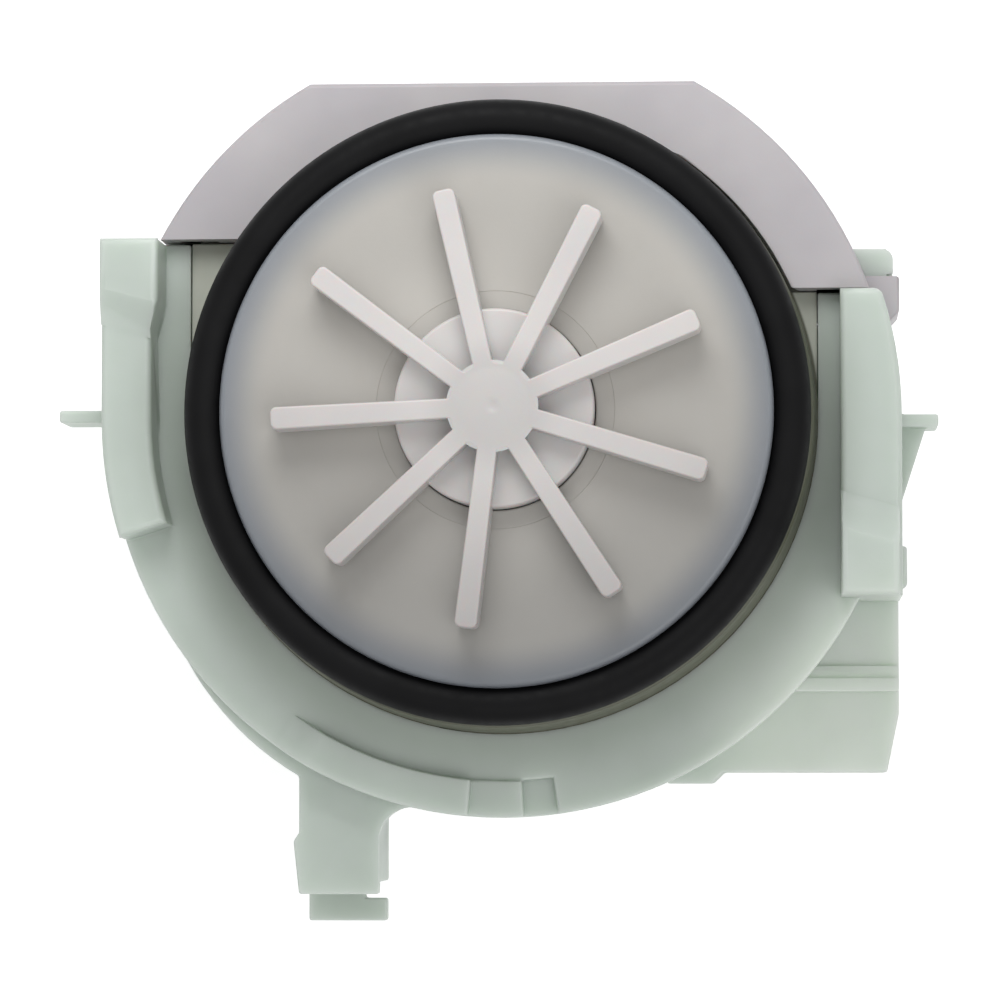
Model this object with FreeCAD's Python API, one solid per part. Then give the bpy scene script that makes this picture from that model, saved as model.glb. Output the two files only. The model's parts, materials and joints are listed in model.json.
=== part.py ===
import FreeCAD, Part
import math
import os

# Drain pump of a dishwasher, built round the axis of its rotor.
# Z is the rotor axis and points out of the front. X is to the right and Y is up, seen from the front.
# Z = 0 is the front face of the mounting flange, where the spigot starts. All sizes are in millimetres.

V = FreeCAD.Vector
AXIS = V(0, 0, 1)
CENTRE = V(0, 0, 0)

# Sealing ring and the spigot that plugs into the sump
seal_bore = 57.0
seal_cord = 4.0
spigot_d = 66.4
spigot_h = 9.0
spigot_edge = 0.4
spigot_wall = 2.2
spigot_foot_step = 0.6
spigot_start = 0.1
nose_h = 3.0
dish_depth = 3.4
dish_floor = 2.0
body_rib = 1.6
body_ribs = 8

# Base plate of the pump body, which slides into the cradle from above
base_t = 2.0
base_lip = 3.2
base_top_y = 27.0
tongue_drop = 0.8

# Flange and arms of the cradle, measured outwards from the spigot
flange_w = 8.9
flange_t = 3.0
left_arm_top = 18.8
right_arm_top = 13.25
left_block_gap = 3.6
right_block_gap = 2.4
block_h = 5.4
left_block_end = 197.6
right_block_low = -18.9
ramp_steep = 18.3
ramp_flat = 12.8
lug_pad_h = 7.2
lug_pad_in = 0.85
lug_pad_y = 12.3
lug_pad_back = 0.9
lug_pad_slant = 3.0
block_edge = 0.7
block_corner = 1.1
corner_wall_h = 11.0
bump_out = 0.6
bump_h = 5.6
bump_depth = 4.0

# Drum of the cradle and the stator cover, a little inside the rim of the flange
depth = 38.0
drum_step = 0.9
drum_wall = 1.8
back_t = 2.0
back_edge = 0.8
back_pocket_d = 24.0
back_pocket = 0.6
cover_step = 1.1
cover_wall = 1.8
cover_flat = 6.5
plate_t = 2.4
plate_edge = 0.5
vent_w = 2.2
vent_l = 11.0
vent_pitch = 6.0
vents = 6
vent_y = 24.0

# Bayonet ramp, its low step and the pocket beside it, on the lower part of the flange
ramp_gap = 5.0
ramp_start = 234.5
ramp_full = 241.0
ramp_end = 265.0
ramp_h = 1.8
step_end = 273.0
step_h = 0.6
pocket_end = 278.0
pocket_depth = 1.2

# Foot latch below the flange, measured down from its rim
foot_x0 = -21.9
foot_w = 8.5
foot_plate_t = 2.5
foot_plate_low = 8.1
foot_bump = 0.6
foot_bump_low = 2.5
foot_toe_low = 11.2
foot_toe_z = -14.2
foot_toe_t = 2.0
foot_web = 0.9
foot_web_low = 6.9
foot_notch_w = 2.4
foot_notch_h = 1.85
foot_root_r = 3.5
foot_root_low = 2.4
foot_bow_r = 32.0
foot_bow_out = 1.5
foot_bow_angle = 240.0

# Wings, measured outwards from the rim of the flange, and the gusset of the right one
wing_t = 1.3
wing_depth = 7.0
wing_z = -2.0
left_wing_out = 5.5
left_wing_y = 0.65
right_wing_out = 3.9
right_wing_y = -0.15
gusset_w = 2.6
gusset_h = 8.0
gusset_t = 1.5

# Snap catch on the cradle and the loop of the cover that drops over it
catch_in = 1.4
catch_w = 6.0
catch_z = -10.0
catch_top = 18.65
catch_barb = 0.7
catch_barb_h = 2.75
catch_round = 1.2
loop_wall = 1.1
loop_gap = 0.2
loop_side = 1.8
loop_low = 10.6
loop_high = 15.5
loop_slant = 1.15
tab_w = 10.0
tab_t = 1.4
tab_drop = 4.0

# Connector socket behind the flange, open downwards
socket_in = 0.2
socket_w = 24.9
socket_mouth = -37.3
socket_key_w = 6.0
socket_key_drop = 1.2
socket_key_slant = 1.2
socket_z = -11.5
socket_h = 16.0
socket_wall = 1.5
socket_left_wall = 2.5
socket_right_wall = 2.5
socket_back_y = -25.5
socket_back_t = 2.0
socket_ridge_y = -28.6
socket_ridge_w = 1.4
socket_ridge_h = 1.0
socket_rib_y = -26.6
socket_rib_w = 0.7
socket_rib_h = 0.6
socket_taper = 1.3
socket_taper_drop = 2.4

# Contact blades and the leads that feed them
blade_w = 6.3
blade_t = 0.8
blade_in = 8.5
blade_pitch = 9.0
blade_recess = 1.5
blade_point = 1.2
blade_foot_y = -21.0
tail_w = 2.0
tail_shift = 0.9
tail_pitch = 5.4
tail_len = 10.0
lead_d = 1.6
lead_in = 1.0
lead_pitch = 2.2
lead_drop = 7.0
lead_jog = 1.5
lead_low_y = -8.0
lead_turn = 25.0

# Rotor, shaft and bearings
shaft_d = 4.0
magnet_d = 25.6
magnet_bore = 11.0
magnet_len = 20.0
magnet_z = -17.5
rotor_gap = 0.9
can_wall = 1.0
can_end = 0.9
sleeve_flange_d = 18.0
sleeve_flange_t = 0.75
sleeve_neck_d = 8.0
bearing_d = 8.4
bearing_len = 6.0
bearing_seat_d = 12.6
bearing_boss_wall = 1.6
washer_d = 7.6
washer_t = 0.6
rear_boss_drop = 1.1

# Front cover
cover_disc_lip = 0.3
cover_disc_rise = 1.2
cover_disc_t = 1.8
cover_disc_edge = 0.5
recess_gap = 0.45
recess_depth = 1.7
disc_mark_r = 12.3
disc_mark_depth = 0.15
recess_floor = 1.6
plug_wall = 1.6
can_plug_len = 5.9
can_plug_wall = 1.5
shaft_hole_d = 5.2
inner_seal_d = 34.0
inner_seal_cord = 1.8
inner_seal_rib = 3.0

# Impeller and the lost-motion coupling inside its cup
impeller_d = 45.6
impeller_blades = 9
blade_phase = 23.0
vane_w = 2.05
vane_front = 18.5
vane_tip_r = 0.7
hub_d = 9.0
hub_rise = 0.25
hub_cap = 0.9
cup_d = 20.6
cup_front = 15.8
cup_wall = 1.2
cup_ceiling = 1.0
lid_t = 0.8
lid_hole_d = 9.0
shaft_tip_gap = 0.2
dog_hub_d = 7.2
dog_lug_r = 8.6
dog_lug_angle = 40.0
damper_angle = 15.0
damper_in_r = 4.2
cup_rib_in_r = 3.9
cup_rib_angle = 60.0

# Stator: laminated core, bobbin, winding
core_half_w = 29.0
core_low = -16.0
leg_in = 16.6
stack_t = 16.0
stack_z = -19.5
pole_air = 0.7
pole_step = 0.8
pole_gap_w = 14.0
window_in = 0.2
window_room = 0.3
coil_room = 0.9
core_corner_top = 7.0
core_corner_low = 5.0
rivet_d = 3.0
rivet_head_d = 4.8
rivet_head_t = 0.9
rivet_x = 23.5
rivet_low_y = -10.5
rivet_high_y = 17.0
bobbin_wall = 0.8
bobbin_flange_t = 1.4
bobbin_margin = 0.2
winding_t = 3.6
winding_corner = 2.0
tape_t = 0.3
pin_d = 1.0
pin_len = 3.4
pin_block_x = 3.6
pin_block_h = 3.2
pin_drop = 4.7
pin_pitch = 9.0
cutout_l = 9.0
cutout_w = 4.0
cutout_t = 1.1

# Clearances
seal_fit = 0.1
cradle_gap = 0.1
slide_gap = 0.2
parting_gap = 0.3
plate_gap = 1.0
mould_gap = 0.1
bearing_gap = 0.05
turn_gap = 0.4
vane_gap = 0.7
coupling_gap = 0.2
cut_over = 1.0

# Levels and radii that follow from the sizes above
spigot_r = spigot_d / 2
slot_r = spigot_r + cradle_gap
spigot_foot_r = spigot_r - spigot_foot_step
cover_disc_r = seal_bore / 2 - seal_fit + cover_disc_lip
nose_r = seal_bore / 2 - seal_fit
nose_in_r = nose_r - spigot_wall
nose_top = spigot_h + nose_h
dish_top = nose_top - dish_depth
dish_under = dish_top - dish_floor
flange_r = spigot_r + flange_w
left_block_in = spigot_r + left_block_gap
right_block_in = spigot_r + right_block_gap
ramp_inner_r = spigot_r + ramp_gap
drum_r = flange_r - drum_step
drum_in_r = drum_r - drum_wall
cover_r = flange_r - cover_step
cover_top_y = flange_r - cover_flat
back = -depth
inside_back = back + back_t
base_top = -flange_t - slide_gap
base_under = base_top - base_t
plate_low_left = left_arm_top + parting_gap
plate_low_right = right_arm_top + parting_gap
shaft_r = shaft_d / 2
magnet_r = magnet_d / 2
can_in_r = magnet_r + rotor_gap
can_r = can_in_r + can_wall
can_floor = inside_back + mould_gap + can_end
bearing_r = bearing_d / 2
bearing_bore_r = shaft_r + bearing_gap
seat_r = bearing_seat_d / 2
boss_in_r = seat_r + bearing_gap
rear_bearing_z = can_floor + mould_gap
rear_washer_z = rear_bearing_z + bearing_len + bearing_gap
sleeve_z = rear_washer_z + washer_t
disc_front = nose_top + cover_disc_rise
disc_under = disc_front - cover_disc_t
recess_top = disc_front - recess_depth
recess_under = recess_top - recess_floor
front_bearing_z = recess_under - mould_gap - bearing_len - plug_wall
front_washer_z = front_bearing_z - bearing_gap - washer_t
lid_z = recess_top + turn_gap
lid_top = lid_z + lid_t
cup_r = cup_d / 2
cup_in_r = cup_r - cup_wall
recess_r = cup_r + recess_gap
ceiling = cup_front - cup_ceiling
vane_back = disc_front + vane_gap
hub_r = hub_d / 2
shaft_tip = vane_front - shaft_tip_gap - hub_cap
stack_low = stack_z - stack_t / 2
stack_high = stack_z + stack_t / 2
pole_r = can_r + pole_air
coil_grow = mould_gap + bobbin_wall + winding_t + tape_t
window_low = pole_r - window_in
yoke_low = window_low + window_room + coil_grow
core_top = cover_top_y - cover_wall - coil_room - coil_grow
yoke_y = (yoke_low + core_top) / 2
pin_y0 = yoke_y - pin_drop
foot_x1 = foot_x0 + foot_w
foot_plate_y = -flange_r - foot_plate_low
foot_bump_y = -flange_r - foot_bump_low
foot_block_y = -flange_r - foot_toe_low
left_wing_x = -flange_r - left_wing_out
right_wing_x = flange_r + right_wing_out
catch_x = flange_r - catch_in
loop_x = catch_x + loop_gap
socket_x1 = flange_r - socket_in
socket_x0 = socket_x1 - socket_w
socket_key_x = socket_x0 + socket_key_w
socket_key_y = socket_mouth - socket_key_drop
socket_taper_y = socket_ridge_y - socket_taper_drop
blade_x = socket_x0 + blade_in
tail_x = blade_x - tail_shift
socket_rear = socket_z - socket_h
socket_mid = socket_z - socket_h / 2


def turned(*profile):
    """A solid turned round the rotor axis from corners given as radius and height."""
    corners = [V(r, 0, z) for r, z in profile]
    return Part.Face(Part.makePolygon(corners + corners[:1])).revolve(CENTRE, AXIS, 360)


def cylinder(radius, z0, z1, x=0, y=0):
    return Part.makeCylinder(radius, z1 - z0, V(x, y, z0))


def ring(inner, outer, z0, z1):
    return turned((inner, z0), (outer, z0), (outer, z1), (inner, z1))


def block(x0, x1, y0, y1, z0, z1):
    return Part.makeBox(x1 - x0, y1 - y0, z1 - z0, V(x0, y0, z0))


def prism(outline, z0, z1):
    """A solid of straight walls on an outline in the XY plane."""
    corners = [V(x, y, z0) for x, y in outline]
    return Part.Face(Part.makePolygon(corners + corners[:1])).extrude(V(0, 0, z1 - z0))


def slab(outline, x0, x1):
    """A solid of straight walls along X on an outline given as Y and Z."""
    corners = [V(x0, y, z) for y, z in outline]
    return Part.Face(Part.makePolygon(corners + corners[:1])).extrude(V(x1 - x0, 0, 0))


def sector(inner, outer, start, end, z0, z1):
    """A piece of a ring between two angles, in degrees from +X."""
    corners = [V(inner, 0, z0), V(outer, 0, z0), V(outer, 0, z1), V(inner, 0, z1)]
    piece = Part.Face(Part.makePolygon(corners + corners[:1])).revolve(CENTRE, AXIS, end - start)
    piece.rotate(CENTRE, AXIS, start)
    return piece


def edges_on(shape, z):
    """The edges that lie flat at one height."""
    flat = 1e-4
    return [e for e in shape.Edges if abs(e.BoundBox.ZMin - z) < flat and abs(e.BoundBox.ZMax - z) < flat]


def upright_edges(shape):
    """The straight edges that run along Z."""
    flat = 1e-4
    return [e for e in shape.Edges if e.BoundBox.XLength < flat and e.BoundBox.YLength < flat]


def joined(first, *others):
    """One solid from several that touch, with the seams between flush faces removed."""
    return first.fuse(list(others)).removeSplitter()


def save(node, *solids):
    shape = solids[0] if len(solids) == 1 else Part.makeCompound(list(solids))
    if len(solids) == 1 and len(shape.Solids) == 1:
        shape = shape.Solids[0]
    shape.exportStep(f"parts/{node}.step")


def pump_body():
    """Spigot, sealing nose, dish floor and rotor can, turned in one, with ribs and the sliding base plate."""
    shell = turned(
        (nose_in_r, nose_top),
        (nose_r, nose_top),
        (nose_r, spigot_h),
        (spigot_r - spigot_edge, spigot_h),
        (spigot_r, spigot_h - spigot_edge),
        (spigot_r, spigot_start),
        (spigot_foot_r, spigot_start),
        (spigot_foot_r, base_under),
        (spigot_r - spigot_wall, base_under),
        (spigot_r - spigot_wall, dish_under),
        (can_r, dish_under),
        (can_r, can_floor - can_end),
        (0, can_floor - can_end),
        (0, can_floor),
        (boss_in_r, can_floor),
        (boss_in_r, rear_bearing_z + bearing_len - rear_boss_drop),
        (boss_in_r + bearing_boss_wall - 0.35, rear_bearing_z + bearing_len - rear_boss_drop),
        (boss_in_r + bearing_boss_wall - 0.35, can_floor),
        (can_in_r, can_floor),
        (can_in_r, dish_top),
        (nose_in_r, dish_top),
    )
    upper_half = block(-spigot_foot_r, spigot_foot_r, 0, base_top_y, base_under, base_top)
    upper_plate = upper_half.common(cylinder(cover_r - cover_wall - slide_gap, base_under, base_top))
    lower_half = block(-spigot_d, spigot_d, -spigot_d, 0, base_under, base_top)
    lower_plate = cylinder(spigot_r + base_lip, base_under, base_top).common(lower_half)
    inside = cylinder(spigot_r - spigot_wall, base_under, base_top)
    tongue = block(-spigot_r, spigot_r, 0, left_arm_top + parting_gap, base_under, -tongue_drop)
    tongue = tongue.cut(parting_cut(parting_gap - mould_gap))
    tongue = tongue.cut(cylinder(spigot_r - spigot_wall, base_under, 0))
    plate = upper_plate.fuse(lower_plate).cut(inside).fuse(tongue)
    rib = block(can_r - can_wall / 2, spigot_r - spigot_wall / 2, -body_rib / 2, body_rib / 2, base_under, dish_under)
    ribs = []
    for k in range(body_ribs):
        turned_rib = rib.copy()
        turned_rib.rotate(CENTRE, AXIS, (k + 0.5) * 360 / body_ribs)
        ribs.append(turned_rib)
    return joined(shell, plate, *ribs)


def front_cover():
    """The translucent disc behind the impeller, with its recess, bearing boss and the plug in the rotor can."""
    plug_r = nose_in_r - slide_gap
    can_plug_r = can_in_r - slide_gap
    seal_r = inner_seal_d / 2
    return turned(
        (shaft_hole_d / 2, recess_under),
        (shaft_hole_d / 2, recess_top),
        (recess_r, recess_top),
        (recess_r, disc_front - disc_mark_depth),
        (disc_mark_r, disc_front - disc_mark_depth),
        (disc_mark_r, disc_front),
        (cover_disc_r - cover_disc_edge, disc_front),
        (cover_disc_r, disc_front - cover_disc_edge),
        (cover_disc_r, nose_top),
        (plug_r, nose_top),
        (plug_r, dish_top + mould_gap),
        (plug_r - plug_wall, dish_top + mould_gap),
        (plug_r - plug_wall, disc_under),
        (seal_r + inner_seal_rib / 2, disc_under),
        (seal_r + inner_seal_rib / 2, dish_top + inner_seal_cord),
        (seal_r - inner_seal_rib / 2, dish_top + inner_seal_cord),
        (seal_r - inner_seal_rib / 2, disc_under),
        (can_plug_r, disc_under),
        (can_plug_r, recess_under - can_plug_len),
        (can_plug_r - can_plug_wall, recess_under - can_plug_len),
        (can_plug_r - can_plug_wall, recess_under),
        (boss_in_r + bearing_boss_wall, recess_under),
        (boss_in_r + bearing_boss_wall, front_bearing_z - mould_gap),
        (boss_in_r, front_bearing_z - mould_gap),
        (boss_in_r, recess_under),
    )


def sealing_ring():
    return Part.makeTorus((seal_bore + seal_cord) / 2, seal_cord / 2, V(0, 0, spigot_h + seal_cord / 2))


def inner_seal():
    return Part.makeTorus(inner_seal_d / 2, inner_seal_cord / 2, V(0, 0, dish_top + inner_seal_cord / 2))


def bearing(z):
    return ring(bearing_bore_r, bearing_r, z, z + bearing_len)


def bearing_seat(z):
    return ring(bearing_r, seat_r, z, z + bearing_len)


def parting_cut(gap):
    """Everything above the line where the cover meets the arms, which is higher on the left."""
    far = 2 * flange_r
    left = block(-far, 0, left_arm_top + gap, far, -far, far)
    right = block(0, far, right_arm_top + gap, far, -far, far)
    return left.fuse(right)


def lug_pad(outline, low, angle):
    """High pad at the end of a lug, with the slope that runs down from it to the lug's long face."""
    half = math.radians(ramp_steep - ramp_flat) / 2 * (right_block_in + flange_r) / 2
    reach = 2 * flange_r
    pad = prism(outline, low, lug_pad_h)
    pad = pad.makeFillet(block_edge, edges_on(pad, lug_pad_h))
    profile = [
        (-half, lug_pad_h),
        (half, block_h),
        (half, low - cut_over),
        (reach, low - cut_over),
        (reach, 2 * lug_pad_h),
        (-half, 2 * lug_pad_h),
    ]
    cut = slab(profile, right_block_in - 2 * cut_over, flange_r + 2 * cut_over)
    cut.rotate(CENTRE, AXIS, angle)
    return pad.cut(cut)


def left_block():
    """Lug of the left arm: straight above the axis, round below it, with its high pad at the upper end."""
    straight = block(-flange_r, -left_block_in, 0, left_arm_top, 0, block_h)
    bent = sector(left_block_in, flange_r, 180, left_block_end, 0, block_h)
    body = joined(straight, bent)
    body = body.makeFillet(block_edge, edges_on(body, block_h))
    inner = lug_pad_in - left_block_in
    outline = [
        (-flange_r, left_arm_top),
        (-flange_r, 0),
        (inner - lug_pad_back, 0),
        (inner - lug_pad_back, lug_pad_y - lug_pad_slant),
        (inner, lug_pad_y),
        (inner, left_arm_top),
    ]
    return joined(body, lug_pad(outline, 0, 180 - (ramp_steep + ramp_flat) / 2))


def right_block():
    """Lug of the right arm, with its high pad at the lower end."""
    outer = flange_r - mould_gap
    body = block(right_block_in, outer, right_block_low, right_arm_top, -flange_t, block_h)
    upper_part = block(0, flange_r, 0, right_arm_top, -flange_t, block_h).cut(cylinder(outer, -flange_t, block_h))
    body = body.cut(upper_part)
    corner = [e for e in upright_edges(body) if e.BoundBox.YMin > right_arm_top - 0.1 and e.BoundBox.XMin > right_block_in + 1]
    body = body.makeFillet(block_corner, corner)
    body = body.makeFillet(block_edge, edges_on(body, block_h))
    pad_out = outer - 3 * mould_gap
    outline = [(right_block_in, right_block_low), (pad_out, right_block_low), (pad_out, 0), (right_block_in, 0)]
    return joined(body, lug_pad(outline, -flange_t, -(ramp_steep + ramp_flat) / 2))


def corner_wall():
    """Wall under the low end of the right lug, down to the socket, with a small bump on its outer side."""
    outer = flange_r - mould_gap
    wall = block(right_block_in, outer, right_block_low, right_block_low + corner_wall_h, socket_z, 0)
    z0 = -flange_t - bump_depth / 2
    bump = prism(
        [
            (outer - bump_out, right_block_low + bump_out),
            (outer + bump_out, right_block_low + 2 * bump_out),
            (outer + bump_out, right_block_low + bump_h - bump_out / 2),
            (outer - bump_out, right_block_low + bump_h),
        ],
        z0,
        z0 + bump_depth,
    )
    return wall.fuse(bump)


def bayonet_ramp():
    """Raised band on the lower left of the flange that rises from nothing to its full height."""
    band = sector(ramp_inner_r, flange_r, ramp_start, ramp_end, 0, ramp_h)
    slope_len = ramp_inner_r * math.radians(ramp_full - ramp_start)
    wedge = slab([(0, 0), (0, ramp_h), (slope_len, ramp_h)], ramp_inner_r - cut_over * 3, flange_r + cut_over)
    wedge.rotate(CENTRE, AXIS, ramp_start)
    step = sector(ramp_inner_r, flange_r, ramp_end, step_end, 0, step_h)
    return joined(band.cut(wedge), step)


def foot():
    """Latch under the flange: a front plate with a bump, a longer plate behind it and two webs between them. A notch opens the longer one."""
    z1 = -flange_t
    z0 = z1 - foot_plate_t
    outline = [
        (foot_x0, -drum_in_r * 0.85),
        (foot_x0, foot_bump_y + 1.5 * foot_bump),
        (foot_x0 - foot_bump, foot_bump_y),
        (foot_x0, foot_plate_y),
        (foot_x1, foot_plate_y),
        (foot_x1, -drum_in_r * 0.9),
    ]
    plate = prism(outline, z0, z1)
    angle = math.radians(foot_bow_angle)
    shift = flange_r + foot_bow_out - foot_bow_r
    bow = cylinder(foot_bow_r, z0, z1, x=shift * math.cos(angle), y=shift * math.sin(angle))
    bow = bow.common(block(-flange_r, foot_x0, foot_plate_y, -flange_r / 2, z0, z1))
    root_y = -flange_r - foot_root_low
    root = block(foot_x1, foot_x1 + foot_root_r, root_y, -drum_in_r * 0.95, z0, z1)
    root = root.cut(cylinder(foot_root_r, z0, z1, x=foot_x1 + foot_root_r, y=root_y))
    web_y = -flange_r - foot_web_low
    rear = block(foot_x0, foot_x1, foot_block_y, -drum_in_r * 0.85, foot_toe_z - foot_toe_t, foot_toe_z)
    notch_x = foot_x1 - foot_notch_w
    rear = rear.cut(block(notch_x, foot_x1, web_y - foot_notch_h, web_y, foot_toe_z - foot_toe_t, foot_toe_z))
    webs = [
        block(x, x + foot_web, web_y, -drum_in_r * 0.85, foot_toe_z, z0)
        for x in (foot_x0, foot_x1 - foot_web)
    ]
    return joined(plate, bow, root, rear, *webs)


def wings():
    """Thin fins that stick out left and right, the right one on a gusset."""
    z0 = wing_z - wing_depth
    left = block(left_wing_x, -drum_in_r, left_wing_y - wing_t / 2, left_wing_y + wing_t / 2, z0, wing_z)
    low = right_wing_y - wing_t / 2
    right = block(drum_in_r, right_wing_x, low, low + wing_t, z0, wing_z)
    x0 = drum_in_r
    x1 = flange_r + gusset_w
    gusset_z = wing_z - wing_depth / 2
    gusset = prism([(x0, low), (x1, low), (flange_r, low - gusset_h), (x0, low - gusset_h)], gusset_z, gusset_z + gusset_t)
    return [left, right, gusset]


def catch():
    """Upright tongue with a rounded barb on its outer side, for the loop of the cover."""
    stem = block(catch_x / 2, catch_x, right_arm_top - 8, catch_top, catch_z - catch_w / 2, catch_z + catch_w / 2)
    barb = block(
        catch_x / 2, catch_x + catch_barb, catch_top - catch_barb_h, catch_top, catch_z - catch_w / 2, catch_z + catch_w / 2
    )
    corner = [e for e in upright_edges(barb) if e.BoundBox.XMin > catch_x and e.BoundBox.YMin > catch_top - 1]
    barb = barb.makeFillet(catch_round, corner)
    inside = cylinder(cover_r + slide_gap + mould_gap, back, 0).common(parting_cut(0))
    return stem.fuse(barb).cut([inside, cylinder(drum_in_r, back, 0)])


def socket_shell():
    """Outside of the connector socket, with its ridge, its key step and its tapered corner."""
    head = block(socket_x0, socket_x1, socket_ridge_y, right_block_low + socket_wall, socket_rear, socket_z)
    ridge = block(
        socket_x0, socket_x1, socket_ridge_y, socket_ridge_y + socket_ridge_w, socket_z, socket_z + socket_ridge_h
    )
    rib = block(socket_x0, socket_x1, socket_rib_y, socket_rib_y + socket_rib_w, socket_z, socket_z + socket_rib_h)
    mouth = prism(
        [
            (socket_x0, socket_ridge_y),
            (socket_x0, socket_key_y),
            (socket_key_x - socket_key_slant, socket_key_y),
            (socket_key_x, socket_mouth),
            (socket_x1 - socket_taper, socket_mouth),
            (socket_x1, socket_taper_y),
            (socket_x1, socket_ridge_y),
        ],
        socket_rear,
        socket_z,
    )
    return joined(head, ridge, rib, mouth)


def socket_hollows():
    """Inside of the socket, the chamber behind it, the way out for the leads and the two blade slots."""
    z0 = socket_rear + socket_wall
    z1 = socket_z - socket_wall
    x0 = socket_x0 + socket_left_wall
    x1 = socket_x1 - socket_right_wall
    wall_low = socket_back_y - socket_back_t
    mouth = block(x0, x1, socket_key_y - cut_over, wall_low, z0, z1)
    chamber = block(x0, x1, socket_back_y, right_block_low - socket_wall, z0, z1)
    way_out = block(
        tail_x - tail_w, tail_x + tail_pitch + tail_w, socket_back_y, right_block_low - socket_wall, socket_rear - cut_over, z0
    )
    slots = [
        block(
            x - blade_w / 2 - bearing_gap,
            x + blade_w / 2 + bearing_gap,
            wall_low - cut_over,
            socket_back_y + cut_over,
            socket_mid - blade_t / 2 - bearing_gap,
            socket_mid + blade_t / 2 + bearing_gap,
        )
        for x in (blade_x, blade_x + blade_pitch)
    ]
    return [mouth, chamber, way_out, *slots]


def cradle_housing():
    """Mint moulding that holds everything: slotted flange, arms, drum, ramps, foot, wings and socket."""
    outer_arm = block(-flange_r, 0, 0, left_arm_top, -flange_t, 0)
    flange = cylinder(flange_r, -flange_t, 0).fuse(outer_arm)
    drum = cylinder(drum_r, back, -flange_t)
    drum = drum.makeFillet(back_edge, edges_on(drum, back))
    inside = cylinder(drum_in_r, inside_back, -flange_t)
    slot = cylinder(slot_r, -flange_t - cut_over, cut_over).fuse(
        block(-slot_r, slot_r, 0, 2 * flange_r, -flange_t - cut_over, cut_over)
    )
    outside = [drum, foot(), catch(), corner_wall(), *wings()]
    shell = flange.fuse(outside).cut([inside, slot, parting_cut(0).cut(catch())])
    shell = shell.fuse([left_block(), right_block(), bayonet_ramp(), socket_shell()])
    rail_w = body_rib
    rail = block(-rail_w / 2, rail_w / 2, -drum_in_r - drum_wall / 2, core_low - slide_gap, stack_low, stack_high)
    rails = []
    for side in (-1, 1):
        placed = rail.common(cylinder(drum_r - drum_wall / 2, stack_low, stack_high, x=-side * leg_in * 0.8))
        placed.translate(V(side * leg_in * 0.8, 0, 0))
        rails.append(placed)
    shell = shell.fuse(rails)
    pocket = sector(ramp_inner_r, flange_r + cut_over, step_end, pocket_end, -pocket_depth, cut_over)
    back_recess = cylinder(back_pocket_d / 2, back - cut_over, back + back_pocket)
    return shell.cut([pocket, back_recess, *socket_hollows()]).removeSplitter()


def stator_cover():
    """Grey saddle over the upper half: front plate, bowed walls, flat top, back with vents, loop and tab."""
    outer = cylinder(cover_r, back, plate_t).cut(block(-cover_r, cover_r, cover_top_y, flange_r, back, plate_t))
    outer = outer.makeFillet(plate_edge, edges_on(outer, plate_t))
    outer = outer.makeFillet(back_edge, edges_on(outer, back))
    inner_r = cover_r - cover_wall
    inner = cylinder(inner_r, inside_back, 0).cut(
        block(-cover_r, cover_r, cover_top_y - cover_wall, flange_r, inside_back, 0)
    )
    spigot_hole = cylinder(spigot_r + plate_gap, -cut_over, plate_t + cut_over)
    far = 2 * flange_r
    below = block(-far, far, -far, far, back - cut_over, plate_t + cut_over).cut(
        parting_cut(parting_gap)
    )
    rib = ring(spigot_r + plate_gap, spigot_r + plate_gap + cover_wall, base_top + slide_gap, 0)
    slots = [
        block(x - vent_w / 2, x + vent_w / 2, vent_y - vent_l / 2, vent_y + vent_l / 2, back - cut_over, inside_back + cut_over)
        for x in [(k - (vents - 1) / 2) * vent_pitch for k in range(vents)]
    ]
    shell = outer.cut(inner).fuse(rib.common(inner)).cut([spigot_hole, below, *slots])
    half = catch_w / 2 + loop_gap
    outline_x = loop_x + loop_wall
    side = block(inner_r * 0.9, outline_x, loop_low, loop_high, catch_z - half - loop_side, catch_z - half)
    side = side.cut(cylinder(drum_r + slide_gap + mould_gap, back, 0).cut(parting_cut(parting_gap)))
    other = side.copy()
    other.translate(V(0, 0, 2 * half + loop_side))
    bar = block(loop_x, outline_x, loop_low, loop_high, catch_z - half - loop_side, catch_z + half + loop_side)
    beyond = outline_x + cut_over
    under = loop_low - cut_over
    corner = [(beyond - loop_slant - 2 * cut_over, under), (beyond, under), (beyond, under + loop_slant + 2 * cut_over)]
    slant = prism(corner, back, 0)
    tab_x = -math.sqrt((drum_in_r - slide_gap) ** 2 - plate_low_left**2)
    tab = block(
        tab_x, tab_x + tab_t, plate_low_left - tab_drop, plate_low_left + tab_drop, stack_z - tab_w / 2, stack_z + tab_w / 2
    )
    kept_out = cylinder(drum_r, back, 0).cut(cylinder(drum_in_r - slide_gap, back, 0)).cut(parting_cut(parting_gap))
    loop = side.fuse([other, bar]).cut([inner, slant])
    return shell.fuse([loop, tab.cut(kept_out)]).removeSplitter()


def stator_core():
    """Laminated stack: yoke above, two legs and stepped pole shoes round the rotor can."""
    w = core_half_w
    top = core_corner_top
    low = core_corner_low
    outline = [
        (-w + low, core_low),
        (w - low, core_low),
        (w, core_low + low),
        (w, core_top - top),
        (w - top, core_top),
        (-w + top, core_top),
        (-w, core_top - top),
        (-w, core_low + low),
    ]
    stack = prism(outline, stack_low, stack_high)
    bore = cylinder(pole_r, stack_low, stack_high)
    steps = [sector(pole_r - cut_over, pole_r + pole_step, a, a + 60, stack_low, stack_high) for a in (0, 180)]
    window = block(-leg_in, leg_in, window_low, yoke_low, stack_low, stack_high)
    gap = block(-pole_gap_w / 2, pole_gap_w / 2, core_low, window_low, stack_low, stack_high)
    holes = [cylinder(rivet_d / 2, stack_low, stack_high, x, y) for x, y in rivet_places()]
    return stack.cut([bore, window, gap, *steps, *holes]).removeSplitter()


def rivet_places():
    return [(side * rivet_x, y) for side in (-1, 1) for y in (rivet_low_y, rivet_high_y)]


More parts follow.
